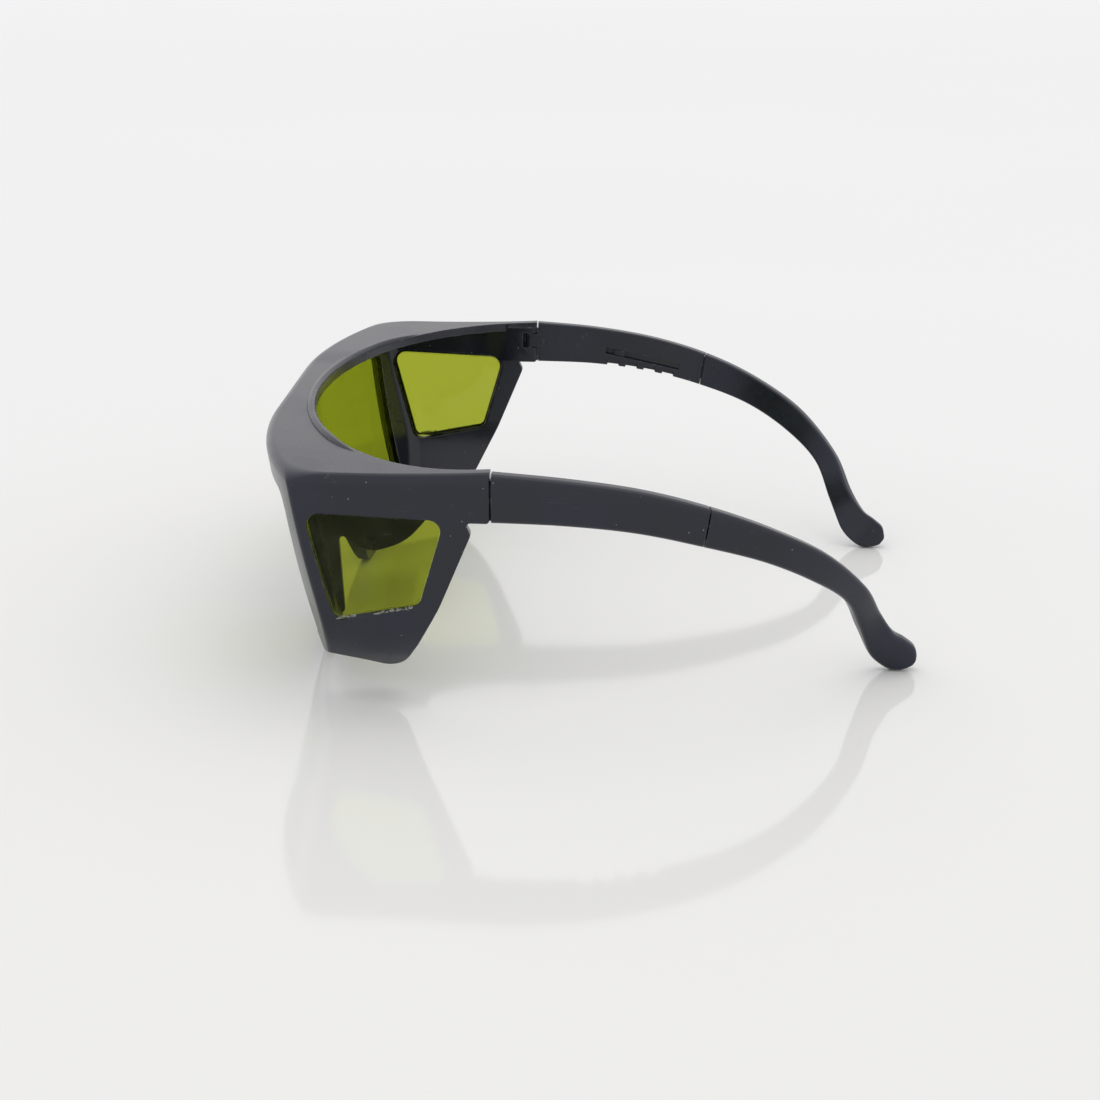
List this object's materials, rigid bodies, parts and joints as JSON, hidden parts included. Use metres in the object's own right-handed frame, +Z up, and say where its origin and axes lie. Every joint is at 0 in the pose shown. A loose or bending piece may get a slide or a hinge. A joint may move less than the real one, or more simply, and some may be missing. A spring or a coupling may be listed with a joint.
{
  "type": "safety glasses",
  "caption": "Fit-over safety glasses with a brow shelf, a wrap-round shield, side windows, a moulded nose saddle and folding telescopic temples.",
  "frame": {"origin": "bottom centre of the bounding box at rest, on the plane the glasses stand on", "axes": "+X towards the wearer's left, -Y forwards from the face, +Z up"},
  "size_m": [0.1574, 0.1587, 0.0565],
  "materials": {
    "frame": "glossy moulded nylon, near black",
    "temple": "glossy moulded nylon, near black",
    "lens": "clear polycarbonate with a yellow-green tint",
    "screw": "turned steel"
  },
  "bodies": {
    "front": {"front_frame": "frame", "front_lens": "lens", "left_side_lens": "lens", "right_side_lens": "lens", "left_hinge_screw": "screw", "right_hinge_screw": "screw"},
    "left_arm": {"left_temple_sleeve": "temple"},
    "left_tip": {"left_temple_tip": "temple"},
    "right_arm": {"right_temple_sleeve": "temple"},
    "right_tip": {"right_temple_tip": "temple"}
  },
  "joints": [
    {"name": "left_fold", "type": "hinge", "parent": "front", "child": "left_arm", "pos_m": [0.0752, -0.02282, 0.0512], "axis": [0, 0, 1], "range_deg": [0, 86]},
    {"name": "right_fold", "type": "hinge", "parent": "front", "child": "right_arm", "pos_m": [-0.0752, -0.02282, 0.0512], "axis": [0, 0, -1], "range_deg": [0, 70]},
    {"name": "left_slide", "type": "slide", "parent": "left_arm", "child": "left_tip", "axis": [-0.0929, 0.9782, -0.1859], "range_m": [0, 0.0155]},
    {"name": "right_slide", "type": "slide", "parent": "right_arm", "child": "right_tip", "axis": [0.0929, 0.9782, -0.1859], "range_m": [0, 0.0155]}
  ]
}
